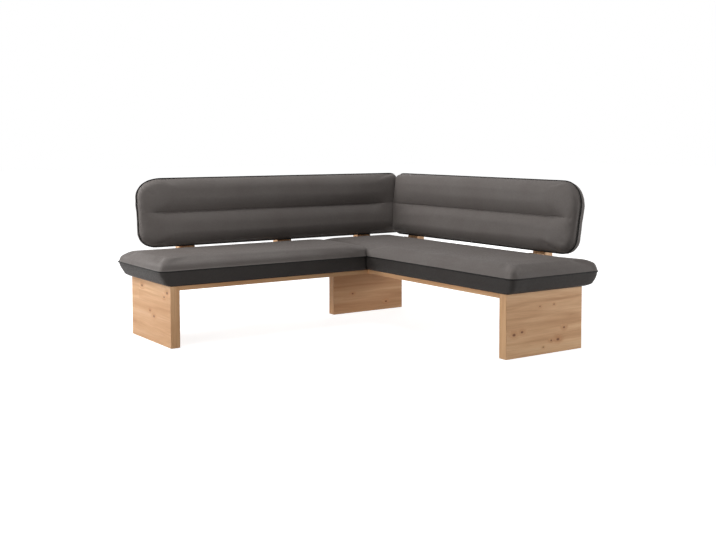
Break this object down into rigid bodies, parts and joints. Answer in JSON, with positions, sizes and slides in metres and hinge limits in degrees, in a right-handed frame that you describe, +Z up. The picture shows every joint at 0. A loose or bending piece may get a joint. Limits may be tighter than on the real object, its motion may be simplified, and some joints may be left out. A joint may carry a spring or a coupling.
{
  "type": "corner bench",
  "caption": "L-shaped upholstered dining bench with reclined channelled backs on oak uprights, oak seat boards and oak panel legs.",
  "frame": {"origin": "on the floor under the middle of the corner leg's felt strip", "axes": "+X along the long wing from its free end to the corner, +Y from the seat's front to its back on the long wing, +Z up"},
  "size_m": [2.0044, 1.9605, 0.8537],
  "materials": {
    "oak": "matt light oak with small dark knots",
    "plywood": "raw plywood",
    "upholstery": "dark warm grey leather-look microfibre, matt",
    "felt": "pressed felt",
    "beech": "grooved beech dowel",
    "zinc_steel": "bright zinc plate"
  },
  "bodies": {
    "root": {"long_wing_leg": "oak", "short_wing_leg": "oak", "corner_leg": "oak", "long_seat_board": "oak", "short_seat_board": "oak", "long_rear_rail": "oak", "short_rear_rail": "oak", "long_upright_outer": "oak", "long_upright_middle": "oak", "long_upright_corner": "oak", "short_upright_outer": "oak", "short_upright_corner": "oak", "long_seat_base": "plywood", "short_seat_base": "plywood", "long_back_core": "plywood", "short_back_core": "plywood", "long_seat_cushion": "upholstery", "short_seat_cushion": "upholstery", "long_back_cushion": "upholstery", "short_back_cushion": "upholstery", "long_back_cover": "upholstery", "short_back_cover": "upholstery", "long_leg_felt": "felt", "short_leg_felt": "felt", "corner_leg_felt": "felt", "leg_dowels": "beech", "board_dowels": "beech", "joining_plates": "zinc_steel", "plate_screws": "zinc_steel", "angle_brackets": "zinc_steel", "bracket_screws": "zinc_steel", "seat_screws": "zinc_steel", "bolt_washers": "zinc_steel", "upright_bolts": "zinc_steel", "threaded_inserts": "zinc_steel", "back_screws": "zinc_steel"}
  },
  "joints": []
}
